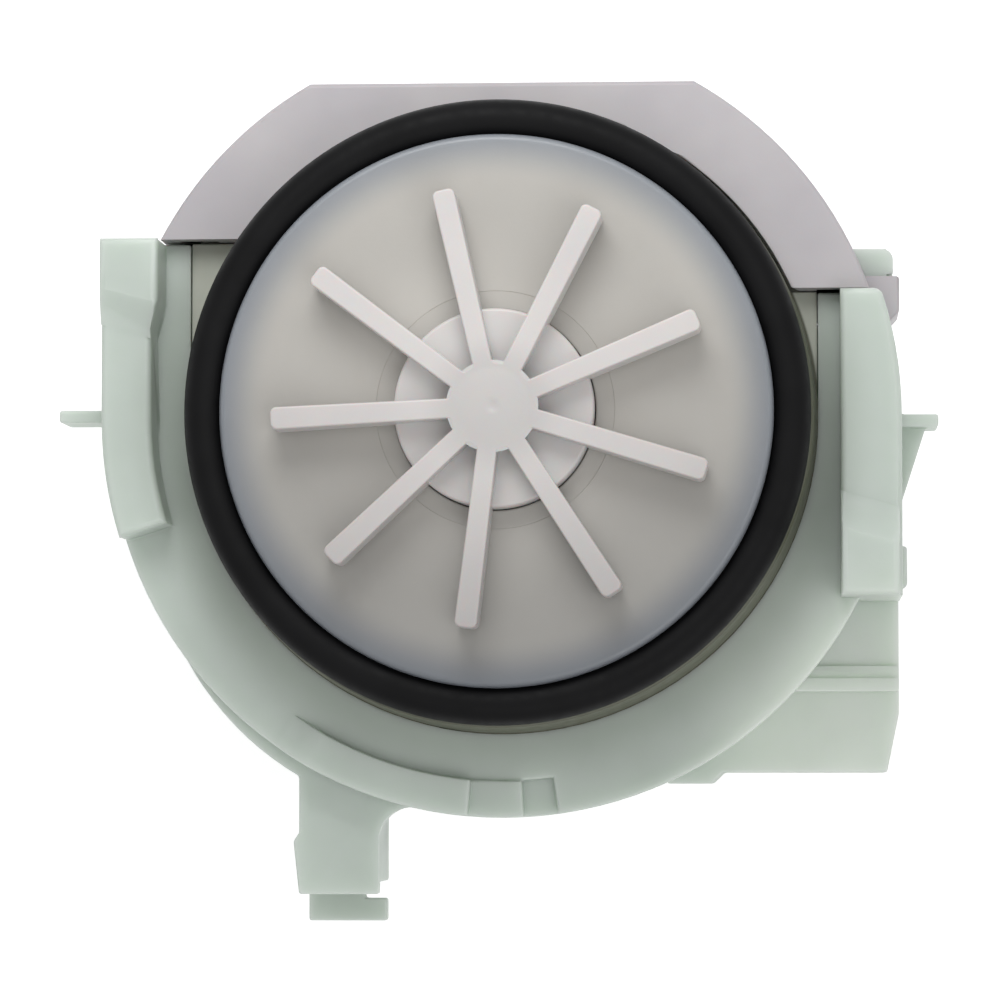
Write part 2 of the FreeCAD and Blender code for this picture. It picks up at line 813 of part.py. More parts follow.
def core_rivets():
    """Rivets through the stack, with a head at each end."""
    rivets = []
    for x, y in rivet_places():
        shank = cylinder(rivet_d / 2, stack_low, stack_high, x, y)
        heads = [
            cylinder(rivet_head_d / 2, z, z + rivet_head_t, x, y) for z in (stack_low - rivet_head_t, stack_high)
        ]
        rivets.append(joined(shank, *heads))
    return rivets


def coil_box(grow, half_x):
    """A box round the yoke, larger than its section by grow on each side."""
    return block(-half_x, half_x, yoke_low - grow, core_top + grow, stack_low - grow, stack_high + grow)


def coil_bobbin():
    """Spool on the yoke, with a terminal block behind its right flange."""
    half = leg_in - bobbin_margin
    flange_grow = coil_grow
    tube = coil_box(mould_gap + bobbin_wall, half)
    flange = coil_box(flange_grow, half)
    far = 2 * flange_r
    gap = block(-half + bobbin_flange_t, half - bobbin_flange_t, -far, far, -far, far)
    z0 = stack_low - flange_grow
    pin_block = block(
        half, half + pin_block_x, pin_y0 - pin_pitch / 4, pin_y0 + pin_pitch * 1.25, z0, z0 + pin_block_h
    )
    spool = tube.fuse([flange.cut(gap), pin_block]).cut(coil_box(mould_gap, half + cut_over))
    holes = [cylinder(pin_d / 2, z0, z0 + pin_block_h / 2, x, y) for x, y in pin_places()]
    return spool.cut(holes).removeSplitter()


def pin_places():
    x = leg_in - bobbin_margin + pin_block_x / 2
    return [(x, pin_y0), (x, pin_y0 + pin_pitch)]


def bobbin_pins():
    """Solder pins in the terminal block."""
    z1 = stack_low - mould_gap - bobbin_wall - winding_t - tape_t + pin_block_h / 2
    return [cylinder(pin_d / 2, z1 - pin_len, z1, x, y) for x, y in pin_places()]


def along_x_edges(shape):
    flat = 1e-4
    return [e for e in shape.Edges if e.BoundBox.YLength < flat and e.BoundBox.ZLength < flat]


def coil_winding():
    half = leg_in - bobbin_margin - bobbin_flange_t
    outer = coil_box(mould_gap + bobbin_wall + winding_t, half)
    outer = outer.makeFillet(winding_corner, along_x_edges(outer))
    return outer.cut(coil_box(mould_gap + bobbin_wall, half))


def insulation_tape():
    half = leg_in - bobbin_margin - bobbin_flange_t
    inner = coil_box(mould_gap + bobbin_wall + winding_t, half)
    inner = inner.makeFillet(winding_corner, along_x_edges(inner))
    outer = coil_box(mould_gap + bobbin_wall + winding_t + tape_t, half)
    outer = outer.makeFillet(winding_corner + tape_t, along_x_edges(outer))
    return outer.cut(inner)


def thermal_cutout():
    """Flat one-shot cutout that lies on the taped winding."""
    z0 = stack_high + mould_gap + bobbin_wall + winding_t + tape_t
    body = block(-cutout_l / 2, cutout_l / 2, yoke_y - cutout_w / 2, yoke_y + cutout_w / 2, z0, z0 + cutout_t)
    return body.makeFillet(cutout_t / 2.5, upright_edges(body))


def contact_blades():
    """Flat blades in the socket; each has a foot in the chamber and a tail bent back towards the leads."""
    z0 = socket_mid - blade_t / 2
    tip = socket_mouth + blade_recess
    blades = []
    for k in (0, 1):
        x = blade_x + k * blade_pitch
        tail = tail_x + k * tail_pitch
        left = min(x - blade_w / 2, tail - tail_w / 2)
        outline = [
            (x - blade_w / 2 + blade_point, tip),
            (x + blade_w / 2 - blade_point, tip),
            (x + blade_w / 2, tip + blade_point),
            (x + blade_w / 2, socket_back_y + mould_gap),
            (x + blade_w / 2, blade_foot_y - tail_w),
            (tail + tail_w / 2, blade_foot_y),
            (left, blade_foot_y),
            (left, socket_back_y + mould_gap),
            (x - blade_w / 2, socket_back_y + mould_gap),
            (x - blade_w / 2, tip + blade_point),
        ]
        flat = prism(outline, z0, z0 + blade_t)
        bent = block(
            tail - tail_w / 2, tail + tail_w / 2, blade_foot_y - blade_t, blade_foot_y, z0 - tail_len, z0 + blade_t
        )
        blades.append(joined(flat, bent))
    return blades


def lead_wires():
    """Insulated leads from the bobbin pins to the tails of the blades, flat behind the stator."""
    leads = []
    places = pin_places()
    for k in (0, 1):
        pin_x, pin_y = places[1 - k]
        z = inside_back + lead_d / 2 + slide_gap
        x_start = pin_x + pin_d / 2 + mould_gap
        run_x = core_half_w - lead_in + lead_pitch * k
        tail = tail_x + k * tail_pitch
        end_y = blade_foot_y - blade_t / 2
        route = [
            V(x_start, pin_y, z),
            V(run_x, pin_y - lead_drop, z),
            V(run_x + lead_jog, lead_low_y, z),
            V(tail, end_y, z),
            V(tail, end_y, socket_mid - blade_t / 2 - tail_len),
        ]
        leads.append(tube(route, lead_d / 2))
    return leads


def tube(route, radius):
    """A round tube along straight runs joined by arcs that touch both runs."""
    edges = []
    here = route[0]
    for before, corner, after in zip(route, route[1:], route[2:]):
        a = before.sub(corner)
        b = after.sub(corner)
        turn = math.pi - a.getAngle(b)
        reach = 0.45 * min(a.Length, b.Length)
        a.normalize()
        b.normalize()
        start = corner.add(V(a).multiply(reach))
        end = corner.add(V(b).multiply(reach))
        bend_r = reach / math.tan(turn / 2)
        middle = V(a).add(b).normalize()
        centre = corner.add(V(middle).multiply(bend_r / math.cos(turn / 2)))
        apex = centre.sub(V(middle).multiply(bend_r))
        edges.append(Part.LineSegment(here, start).toShape())
        edges.append(Part.Arc(start, apex, end).toShape())
        here = end
    edges.append(Part.LineSegment(here, route[-1]).toShape())
    path = Part.Wire(edges)
    across = route[1].sub(route[0])
    section = Part.Wire(Part.makeCircle(radius, route[0], across))
    return path.makePipeShell([section], True, False)


def rotor_shaft():
    return cylinder(shaft_r, rear_bearing_z + 2 * mould_gap, shaft_tip - shaft_tip_gap)


def rotor_sleeve():
    """Plastic core that carries the magnet on the shaft, with an end flange at each side and a front neck."""
    z0 = magnet_z - magnet_len / 2
    z1 = magnet_z + magnet_len / 2
    return turned(
        (shaft_r, sleeve_z),
        (sleeve_neck_d / 2, sleeve_z),
        (sleeve_flange_d / 2, z0 - sleeve_flange_t + mould_gap),
        (sleeve_flange_d / 2, z0),
        (magnet_bore / 2, z0),
        (magnet_bore / 2, z1),
        (sleeve_flange_d / 2, z1),
        (sleeve_flange_d / 2, z1 + sleeve_flange_t),
        (sleeve_neck_d / 2, z1 + 2 * sleeve_flange_t),
        (sleeve_neck_d / 2, front_washer_z),
        (shaft_r, front_washer_z),
    )


def rotor_magnet():
    return ring(magnet_bore / 2, magnet_r, magnet_z - magnet_len / 2, magnet_z + magnet_len / 2)


def thrust_washers():
    return [ring(shaft_r, washer_d / 2, z, z + washer_t) for z in (rear_washer_z, front_washer_z)]


def drive_dog():
    """Driver on the shaft: a round hub and one lug that pushes the rib of the impeller."""
    low = lid_top + coupling_gap
    high = ceiling - coupling_gap
    hub = ring(shaft_r, dog_hub_d / 2, recess_top + coupling_gap, high)
    half = dog_lug_angle / 2
    lug = sector(shaft_r + 1, dog_lug_r, 270 - half, 270 + half, low, high)
    return joined(hub, lug)


def damper_pads():
    """Rubber pads on both faces of the lug."""
    low = lid_top + coupling_gap
    high = ceiling - coupling_gap
    half = dog_lug_angle / 2
    return [
        sector(damper_in_r, dog_lug_r, a, a + damper_angle, low, high)
        for a in (270 - half - damper_angle, 270 + half)
    ]


def dome(radius, z, rise):
    """A shallow cap of a sphere on a circle."""
    ball = (radius**2 + rise**2) / (2 * rise)
    return Part.makeSphere(ball, V(0, 0, z + rise - ball), AXIS, math.degrees(math.asin((ball - rise) / ball)), 90, 360)


def impeller():
    """Straight blades round a domed hub, on a cup that hides the coupling."""
    cup = turned(
        (0, ceiling),
        (cup_in_r, ceiling),
        (cup_in_r, lid_z),
        (cup_r, lid_z),
        (cup_r, cup_front),
        (0, cup_front),
    )
    hub = cylinder(hub_r, ceiling, vane_front).fuse(dome(hub_r, vane_front, hub_rise))
    vane = block(0, impeller_d / 2, -vane_w / 2, vane_w / 2, vane_back, vane_front)
    tip_edges = [e for e in upright_edges(vane) if e.BoundBox.XMin > hub_r]
    vane = vane.makeFillet(vane_tip_r, tip_edges).cut(cylinder(cup_in_r, vane_back, ceiling))
    vanes = []
    for k in range(impeller_blades):
        placed = vane.copy()
        placed.rotate(CENTRE, AXIS, blade_phase + k * 360 / impeller_blades)
        vanes.append(placed)
    half = cup_rib_angle / 2
    rib = sector(cup_rib_in_r, cup_in_r, 90 - half, 90 + half, lid_top + mould_gap, ceiling)
    bore = cylinder(shaft_r + bearing_gap, ceiling - cut_over, shaft_tip)
    return joined(cup, hub, rib, *vanes).cut(bore)


def coupling_lid():
    """Ring that closes the cup behind the lug."""
    return ring(lid_hole_d / 2, cup_in_r - bearing_gap, lid_z, lid_top)


def main():
    os.makedirs("parts", exist_ok=True)
    save("cradle_housing", cradle_housing())
    save("stator_cover", stator_cover())
    save("pump_body", pump_body())
    save("front_cover", front_cover())
    save("sealing_ring", sealing_ring())
    save("inner_seal", inner_seal())
    save("front_bearing", bearing(front_bearing_z))
    save("front_bearing_seat", bearing_seat(front_bearing_z))
    save("rear_bearing", bearing(rear_bearing_z))
    save("rear_bearing_seat", bearing_seat(rear_bearing_z))
    save("stator_core", stator_core())
    save("core_rivets", *core_rivets())
    save("coil_bobbin", coil_bobbin())
    save("bobbin_pins", *bobbin_pins())
    save("coil_winding", coil_winding())
    save("insulation_tape", insulation_tape())
    save("thermal_cutout", thermal_cutout())
    save("contact_blades", *contact_blades())
    save("lead_wires", *lead_wires())
    save("rotor_shaft", rotor_shaft())
    save("rotor_sleeve", rotor_sleeve())
    save("rotor_magnet", rotor_magnet())
    save("thrust_washers", *thrust_washers())
    save("drive_dog", drive_dog())
    save("damper_pads", *damper_pads())
    save("impeller", impeller())
    save("coupling_lid", coupling_lid())


main()
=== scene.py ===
# %% [markdown]
# # A dishwasher drain pump
# The pump lies on its back, so the impeller looks up and the rotor turns about Z.
# Every piece here sits round the imported solids, which are loaded first and never moved.
# The sizes of pieces are written in millimetres, as on a drawing, and turned into metres when a
# piece is finished. The size of the imported model is kept at once, and its lowest point sets the
# floor.

# %% Load the imported model and keep its size
import json
import math

import bmesh
import bpy
from mathutils import Matrix, Vector


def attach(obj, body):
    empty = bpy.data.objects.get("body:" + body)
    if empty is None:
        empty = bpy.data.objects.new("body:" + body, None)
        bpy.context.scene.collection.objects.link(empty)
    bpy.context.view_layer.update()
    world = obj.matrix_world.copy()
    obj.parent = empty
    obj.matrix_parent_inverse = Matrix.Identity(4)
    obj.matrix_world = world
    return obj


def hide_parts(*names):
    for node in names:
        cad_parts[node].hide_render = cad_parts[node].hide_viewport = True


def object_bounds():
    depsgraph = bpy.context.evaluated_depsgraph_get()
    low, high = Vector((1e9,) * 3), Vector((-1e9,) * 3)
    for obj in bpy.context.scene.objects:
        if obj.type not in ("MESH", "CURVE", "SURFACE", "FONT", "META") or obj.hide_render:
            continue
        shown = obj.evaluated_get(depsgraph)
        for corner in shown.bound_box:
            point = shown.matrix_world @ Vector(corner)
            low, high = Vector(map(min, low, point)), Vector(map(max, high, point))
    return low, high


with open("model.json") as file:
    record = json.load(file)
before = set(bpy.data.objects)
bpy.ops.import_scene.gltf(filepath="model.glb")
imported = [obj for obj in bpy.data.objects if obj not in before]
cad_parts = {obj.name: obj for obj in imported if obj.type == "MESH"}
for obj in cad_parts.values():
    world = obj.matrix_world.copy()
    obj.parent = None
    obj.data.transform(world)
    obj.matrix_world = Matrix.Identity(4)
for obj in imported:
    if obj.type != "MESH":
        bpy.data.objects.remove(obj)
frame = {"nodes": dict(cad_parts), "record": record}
nodes = frame["nodes"]
packed_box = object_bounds()

MM = 0.001
UP = Vector((0, 0, 1))
AXIS_POINT = Vector((0, 0, 0))
MERGE = 0.002  # points of one skin that lie nearer than this, in millimetres, become one
NEAR = 0.01  # a point as near as this, in millimetres, counts as lying on a line or a face
print("packed nodes:", len(nodes), "box:", packed_box)

# %% [markdown]
# ## From a bmesh to a finished piece
# A bmesh is Blender's editable mesh. Each piece below is shaped in one, in millimetres, and one
# helper scales it to metres and hands it over with the body it moves with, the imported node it
# stands for and its material slot. It also turns the faces outwards, apart from a copy of a packed
# node, whose faces already are. Smooth shading with a sharp limit keeps flat faces flat and round
# faces round, and the Weighted Normal modifier lets the large faces rule the small ones beside a
# bevel. A closed skin has two faces at every edge, so the count of open edges shows a hole.

# %% Helpers: finish a piece, find edges and round them
SHARP_LIMIT = math.radians(32)
dressed = {}


def finish_piece(bm, name, body, slot, stands_for, turn_outwards=True):
    """Makes the bmesh an object of the scene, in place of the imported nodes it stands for."""
    if turn_outwards:
        bmesh.ops.recalc_face_normals(bm, faces=bm.faces)
    bmesh.ops.scale(bm, vec=(MM, MM, MM), verts=bm.verts)
    mesh = bpy.data.meshes.new(name)
    bm.to_mesh(mesh)
    bm.free()
    mesh.polygons.foreach_set("use_smooth", [True] * len(mesh.polygons))
    mesh.set_sharp_from_angle(angle=SHARP_LIMIT)
    piece = bpy.data.objects.new(name, mesh)
    bpy.context.scene.collection.objects.link(piece)
    weighted = piece.modifiers.new("weighted normals", "WEIGHTED_NORMAL")
    weighted.keep_sharp = True
    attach(piece, body)
    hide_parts(*stands_for)
    dressed[piece] = slot
    print(f"{name}: {len(mesh.polygons)} faces")


def open_edges(bm):
    """How many edges don't lie between exactly two faces."""
    return sum(1 for e in bm.edges if len(e.link_faces) != 2)


def edges_where(bm, test):
    """The edges whose two ends both pass the test."""
    return [e for e in bm.edges if all(test(v.co) for v in e.verts)]


def round_edges(bm, edges, width, segments):
    """A bevel of several segments, which reads as a radius."""
    bmesh.ops.bevel(
        bm,
        geom=edges,
        offset=width,
        offset_type="OFFSET",
        segments=segments,
        profile=0.5,
        affect="EDGES",
        material=-1,
        clamp_overlap=False,
    )


# %% [markdown]
# ## Turned pieces
# The disc, the seal and the hub are round about the rotor axis. On a lathe or in a mould they
# come from one profile, so here too: a few corners given as radius and height are joined into
# a line, the corners named are rounded with a vertex bevel, and spin turns the line once round
# the axis. Points that lie on the axis fall together and are merged, which closes the pole.

# %% Helper: spin a profile
ROUND_STEPS = 192
CORNER_STEPS = 4
SAME_POINT = 0.0005


def spin_profile(bm, corners, closed=True, steps=ROUND_STEPS, angle=math.tau):
    """Turns a line round the axis. Corners are (radius, height) or (radius, height, rounding)."""
    verts = [bm.verts.new((c[0], 0, c[1])) for c in corners]
    pairs = list(zip(verts, verts[1:]))
    if closed:
        pairs.append((verts[-1], verts[0]))
    for pair in pairs:
        bm.edges.new(pair)
    line = set(verts)
    for vert, corner in zip(verts, corners):
        if len(corner) > 2:
            line.discard(vert)
            cut = bmesh.ops.bevel(
                bm,
                geom=[vert],
                offset=corner[2],
                offset_type="OFFSET",
                segments=CORNER_STEPS,
                profile=0.5,
                affect="VERTICES",
                material=-1,
            )
            line.update(cut["verts"])
    edges = {e for v in line for e in v.link_edges}
    bmesh.ops.spin(
        bm,
        geom=list(line) + list(edges),
        cent=AXIS_POINT,
        axis=UP,
        angle=angle,
        steps=steps,
        use_merge=math.isclose(angle, math.tau),
    )
    bmesh.ops.remove_doubles(bm, verts=bm.verts, dist=SAME_POINT)


# %% [markdown]
# ## The milky disc behind the impeller
# This disc closes the pump body. Its rim is rounded, a round recess in its middle takes the cup
# of the impeller with a narrow gap, and a step as thin as a sheet of paper runs round that recess.
# Behind it stand, from the rim inwards, a plug that fits the nose of the body, a rib that presses
# the small sealing ring, a plug that reaches into the rotor can, and the boss that holds the front
# bearing. The real one is a moulding turned about one axis, so one profile gives all of it, hidden
# parts included.

# %% Build the disc
DISC_FRONT = 13.2
DISC_LIP_R = 28.7
NOSE_TOP = 12.0
RECESS_R = 10.4
RECESS_TOP = 11.5
RECESS_UNDER = 9.9
RECESS_ROUND = 0.2
MARK_R = 12.3
MARK_DEPTH = 0.06
MARK_ROUND = 0.03
RIM_ROUND = 0.7
DISC_UNDER = 11.4
SHAFT_HOLE_R = 2.6
NOSE_PLUG_R = 26.0
NOSE_PLUG_IN_R = 24.4
NOSE_PLUG_LOW = 8.7
RING_RIB_R = 18.5
RING_RIB_IN_R = 15.5
RING_RIB_LOW = 10.4
CAN_PLUG_R = 13.5
CAN_PLUG_IN_R = 12.0
CAN_PLUG_LOW = 4.0
BOSS_R = 7.95
BOSS_IN_R = 6.35
BOSS_LOW = 2.1

disc = bmesh.new()
spin_profile(
    disc,
    [
        (SHAFT_HOLE_R, RECESS_UNDER),
        (SHAFT_HOLE_R, RECESS_TOP),
        (RECESS_R, RECESS_TOP, RECESS_ROUND),
        (RECESS_R, DISC_FRONT - MARK_DEPTH, RECESS_ROUND),
        (MARK_R, DISC_FRONT - MARK_DEPTH, MARK_ROUND),
        (MARK_R + MARK_DEPTH, DISC_FRONT, MARK_ROUND),
        (DISC_LIP_R, DISC_FRONT, RIM_ROUND),
        (DISC_LIP_R, NOSE_TOP),
        (NOSE_PLUG_R, NOSE_TOP),
        (NOSE_PLUG_R, NOSE_PLUG_LOW),
        (NOSE_PLUG_IN_R, NOSE_PLUG_LOW),
        (NOSE_PLUG_IN_R, DISC_UNDER),
        (RING_RIB_R, DISC_UNDER),
        (RING_RIB_R, RING_RIB_LOW),
        (RING_RIB_IN_R, RING_RIB_LOW),
        (RING_RIB_IN_R, DISC_UNDER),
        (CAN_PLUG_R, DISC_UNDER),
        (CAN_PLUG_R, CAN_PLUG_LOW),
        (CAN_PLUG_IN_R, CAN_PLUG_LOW),
        (CAN_PLUG_IN_R, RECESS_UNDER),
        (BOSS_R, RECESS_UNDER),
        (BOSS_R, BOSS_LOW),
        (BOSS_IN_R, BOSS_LOW),
        (BOSS_IN_R, RECESS_UNDER),
    ],
)
finish_piece(disc, "front_disc", "pump", "disc_pp", ["front_cover"])

# %% [markdown]
# ## The sealing ring
# A rubber cord of round section lies in front of the shoulder of the spigot. Rubber rings are
# pressed in two mould halves, and where these meet a fine line stays on the cord. The section is
# a circle made by create_circle, two of its points are drawn out a little for that line, and the
# section is spun round the axis.

# %% Build the sealing ring
CORD_R = 2.0
CORD_SIDES = 32
RING_MIDDLE_R = 30.5
RING_Z = 11.0
MOULD_LINE = 0.045

ring = bmesh.new()
section = bmesh.ops.create_circle(ring, cap_ends=False, segments=CORD_SIDES, radius=CORD_R)["verts"]
for vert in section:
    if abs(vert.co.y) < NEAR:
        vert.co.x *= 1 + MOULD_LINE / CORD_R
upright = Matrix.Rotation(math.pi / 2, 3, "X")
bmesh.ops.rotate(ring, verts=ring.verts, cent=AXIS_POINT, matrix=upright)
bmesh.ops.translate(ring, verts=ring.verts, vec=(RING_MIDDLE_R, 0, RING_Z))
bmesh.ops.spin(
    ring,
    geom=list(ring.verts) + list(ring.edges),
    cent=AXIS_POINT,
    axis=UP,
    angle=math.tau,
    steps=ROUND_STEPS,
    use_merge=True,
)
finish_piece(ring, "seal_ring", "pump", "seal_epdm", ["sealing_ring"])

# %% [markdown]
# ## The impeller
# Nine straight blades and the hub between them make one flat star, which stands on a cup that
# hides the coupling to the shaft. The cup, with the low dome that closes the hub, is a spun
# profile. In the middle of the dome is a shallow mark, where the plastic entered the mould, and
# the dome runs one step past its radius, so that its rim dips into the star. The star starts as
# its own top view, one closed outline: each blade widens a little towards its rounded tip, and a
# small arc joins it to the hub on both sides, as the mould cutter leaves it. A Boolean union makes
# one skin of star and cup.

# %% Helper: one skin from two closed shapes
def united(one, other):
    """Both shapes as one closed skin. It uses the two up."""
    things = []
    for bm in (one, other):
        mesh = bpy.data.meshes.new("half of a union")
        bm.to_mesh(mesh)
        bm.free()
        things.append(bpy.data.objects.new("half of a union", mesh))
        bpy.context.scene.collection.objects.link(things[-1])
    union = things[0].modifiers.new("union", "BOOLEAN")
    union.operation = "UNION"
    union.solver = "EXACT"
    union.object = things[1]
    graph = bpy.context.evaluated_depsgraph_get()
    whole = bmesh.new()
    whole.from_object(things[0], graph)
    for thing in things:
        mesh = thing.data
        bpy.data.objects.remove(thing)
        bpy.data.meshes.remove(mesh)
    return whole


# %% Build the cup and the dome
WHEEL_STEPS = 96
BLADE_TOP = 18.5
HUB_RISE = 0.25
DOME_R = 4.2
DOME_STEPS = 8
STEM_R = 4.0
STEM_SINK = 0.6
CUP_R = 10.3
CUP_ROUND = 0.35
CUP_IN_R = 9.1
CUP_TOP = 15.8
CUP_CEILING = 14.8
CUP_LOW = 11.9
BORE_R = 2.05
BORE_TOP = 17.4
GATE_R = 0.45
GATE_DEPTH = 0.04

cup = bmesh.new()
dome_r = (DOME_R**2 + HUB_RISE**2) / (2 * HUB_RISE)
dome = []
for k in range(1, DOME_STEPS + 2):
    r = DOME_R * k / DOME_STEPS
    dome.append((r, BLADE_TOP + HUB_RISE - dome_r + math.sqrt(dome_r**2 - r**2)))
gate_floor = BLADE_TOP + HUB_RISE - GATE_DEPTH
spin_profile(
    cup,
    [(0, gate_floor), (GATE_R, gate_floor)]
    + dome
    + [
        (STEM_R, BLADE_TOP - STEM_SINK),
        (STEM_R, CUP_TOP),
        (CUP_R, CUP_TOP, CUP_ROUND),
        (CUP_R, CUP_LOW),
        (CUP_IN_R, CUP_LOW),
        (CUP_IN_R, CUP_CEILING),
        (BORE_R, CUP_CEILING),
        (BORE_R, BORE_TOP),
        (0, BORE_TOP),
    ],
    closed=False,
    steps=WHEEL_STEPS,
)
bmesh.ops.recalc_face_normals(cup, faces=cup.faces)

# %% [markdown]
# Inside the cup a thick rib hangs from the ceiling. The lug on the shaft turns freely until it
# meets this rib, and then it drives the wheel. The rib is the same spun section, turned by a part
# of a circle only, with its two ends closed. It reaches a little into the wall and the ceiling, so
# that the union has no faces that lie on each other.

# %% Add the driving rib
RIB_IN_R = 3.9
RIB_LOW = 12.8
RIB_ANGLE = 60.0
RIB_MIDDLE = 90.0
RIB_STEPS = 16
INTO_WALL = 0.4

rib = bmesh.new()
spin_profile(
    rib,
    [
        (RIB_IN_R, RIB_LOW),
        (CUP_IN_R + INTO_WALL, RIB_LOW),
        (CUP_IN_R + INTO_WALL, CUP_CEILING + INTO_WALL),
        (RIB_IN_R, CUP_CEILING + INTO_WALL),
    ],
    steps=RIB_STEPS,
    angle=math.radians(RIB_ANGLE),
)
bmesh.ops.holes_fill(rib, edges=[e for e in rib.edges if len(e.link_faces) == 1])
start = Matrix.Rotation(math.radians(RIB_MIDDLE - RIB_ANGLE / 2), 3, "Z")
bmesh.ops.rotate(rib, verts=rib.verts, cent=AXIS_POINT, matrix=start)
bmesh.ops.recalc_face_normals(rib, faces=rib.faces)
cup = united(cup, rib)
print("cup, dome and rib:", len(cup.faces), "faces,", open_edges(cup), "open edges")

# %% [markdown]
# One blade's half outline is drawn once, from the tip down one side to the hub. A mirrored copy
# gives the other half, and a short arc of the hub leads to the next blade. The outline has one
# corner more where the blade crosses the wall of the cup, because its lower side has a step there.

# %% Draw the star
BLADES = 9
BLADE_PHASE = 23.0
BLADE_TIP_R = 22.8
ROOT_HALF = 1.03
TIP_HALF = 1.16
TIP_ROUND = 0.65
TIP_STEPS = 5
HUB_R = 4.5
HUB_STEPS = 3
VALLEY_ROUND = 0.4
VALLEY_STEPS = 5
STEP_R = 9.8


def arc(centre, radius, start, end, steps):
    """Points on a circle from one angle to another, in degrees."""
    angles = [math.radians(start + (end - start) * k / steps) for k in range(steps + 1)]
    return [(centre[0] + radius * math.cos(a), centre[1] + radius * math.sin(a)) for a in angles]


def mirrored(points):
    """The same points on the other side of the blade's middle line, in reverse order."""
    return [(x, -y) for x, y in reversed(points)]


pitch = 360 / BLADES
lean = math.asin((ROOT_HALF + VALLEY_ROUND) / (HUB_R + VALLEY_ROUND))
valley = ((HUB_R + VALLEY_ROUND) * math.cos(lean), ROOT_HALF + VALLEY_ROUND)
widening = (TIP_HALF - ROOT_HALF) * (STEP_R - HUB_R) / (BLADE_TIP_R - HUB_R)
step_point = (STEP_R, ROOT_HALF + widening)
side = arc((BLADE_TIP_R - TIP_ROUND, TIP_HALF - TIP_ROUND), TIP_ROUND, 0, 90, TIP_STEPS)
side.append(step_point)
side += arc(valley, VALLEY_ROUND, 270, 180 + math.degrees(lean), VALLEY_STEPS)
hub_arc = arc((0, 0), HUB_R, math.degrees(lean), pitch - math.degrees(lean), HUB_STEPS)[1:-1]
one = mirrored(side) + side + hub_arc
print("points for each blade:", len(one))

# %% Raise the star
BLADE_LOW = 13.9
ROOT_Z = 15.3
TOP_ROUND = 0.22
TOP_STEPS = 3
STEP_FROM = one.index(mirrored([step_point])[0])
STEP_TO = one.index(step_point)

star = bmesh.new()
outline = []
across = []
for k in range(BLADES):
    turn = Matrix.Rotation(math.radians(BLADE_PHASE + k * pitch), 3, "Z")
    fresh = [star.verts.new(turn @ Vector((x, y, ROOT_Z))) for x, y in one]
    outline += fresh
    across.append((fresh[STEP_FROM], fresh[STEP_TO]))
base = star.faces.new(outline)
pulled = bmesh.ops.extrude_face_region(star, geom=[base], use_keep_orig=True)
risen = [g for g in pulled["geom"] if isinstance(g, bmesh.types.BMVert)]
bmesh.ops.translate(star, verts=risen, vec=(0, 0, BLADE_TOP - ROOT_Z))
bmesh.ops.recalc_face_normals(star, faces=star.faces)
round_edges(star, edges_where(star, lambda p: p.z > BLADE_TOP - NEAR), TOP_ROUND, TOP_STEPS)

# %% [markdown]
# Beyond the cup the blades reach further down. An edge across the lower side of each blade
# splits off the part outside the cup, and that part is pulled down.

# %% Lower the outer part of the blades and join star and cup
for pair in across:
    bmesh.ops.connect_vert_pair(star, verts=pair)
feet = []
for face in star.faces:
    if all(v.co.z < ROOT_Z + NEAR and v.co.xy.length > STEP_R - NEAR for v in face.verts):
        feet.append(face)
pulled = bmesh.ops.extrude_face_region(star, geom=feet)
lowered = [g for g in pulled["geom"] if isinstance(g, bmesh.types.BMVert)]
bmesh.ops.translate(star, verts=lowered, vec=(0, 0, BLADE_LOW - ROOT_Z))
bmesh.ops.delete(star, geom=feet, context="FACES_ONLY")
bmesh.ops.recalc_face_normals(star, faces=star.faces)
print("star:", open_edges(star), "open edges")
wheel = united(cup, star)
bmesh.ops.remove_doubles(wheel, verts=wheel.verts, dist=MERGE)
print("wheel:", len(wheel.faces), "faces,", open_edges(wheel), "open edges")
finish_piece(wheel, "impeller_wheel", "impeller_group", "impeller_pp", ["impeller"])

# %% [markdown]
# ## Mouldings with many details
# The cradle, the grey saddle that covers the stator and the pump body have dozens of walls, ribs
# and hooks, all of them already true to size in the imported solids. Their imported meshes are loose
# triangles, so a copy is merged into one skin, flat areas are dissolved into single faces, and the
# edges get the small radius that every moulding has. An edge is rounded only where it is long
# enough and both faces beside it leave room for the radius, which keeps the bevel from folding
# over at fine steps. The edge of the cradle's slot stays sharp, because it lies close against the
# foot of the spigot, and a radius there would show as a dark line.

# %% Helper: a copy of a packed moulding with rounded edges
FLAT_LIMIT = math.radians(0.05)
SHARP_FROM = math.radians(34)
EDGE_STEPS = 2
PAST_END = 0.2  # corners beyond an edge's end count too, up to this share of its length
LENGTH_ROOM = 2.2  # an edge is rounded from this many radii of length on
SIDE_ROOM = 2.4  # and where the faces beside it are this many radii wide
SLOT_R = 33.3
SLOT_NEAR = 0.02
SLOT_FROM_Z = -0.1


def room_beside(edge, face):
    """Smallest distance from the edge's line to the other corners of one face beside it."""
    a, b = (v.co for v in edge.verts)
    along = (b - a).normalized()
    length = (b - a).length
    room = math.inf
    for vert in face.verts:
        if vert in edge.verts:
            continue
        run = vert.co - a
        t = run.dot(along)
        if -PAST_END * length <= t <= (1 + PAST_END) * length:
            room = min(room, (run - along * t).length)
    return room


def join_flats(bm):
    """One skin instead of loose triangles, with each flat area as one face."""
    bmesh.ops.remove_doubles(bm, verts=bm.verts, dist=MERGE)
    bmesh.ops.dissolve_degenerate(bm, edges=bm.edges, dist=MERGE)
    bmesh.ops.dissolve_limit(
        bm,
        angle_limit=FLAT_LIMIT,
        verts=bm.verts,
        edges=bm.edges,
        use_dissolve_boundaries=False,
    )


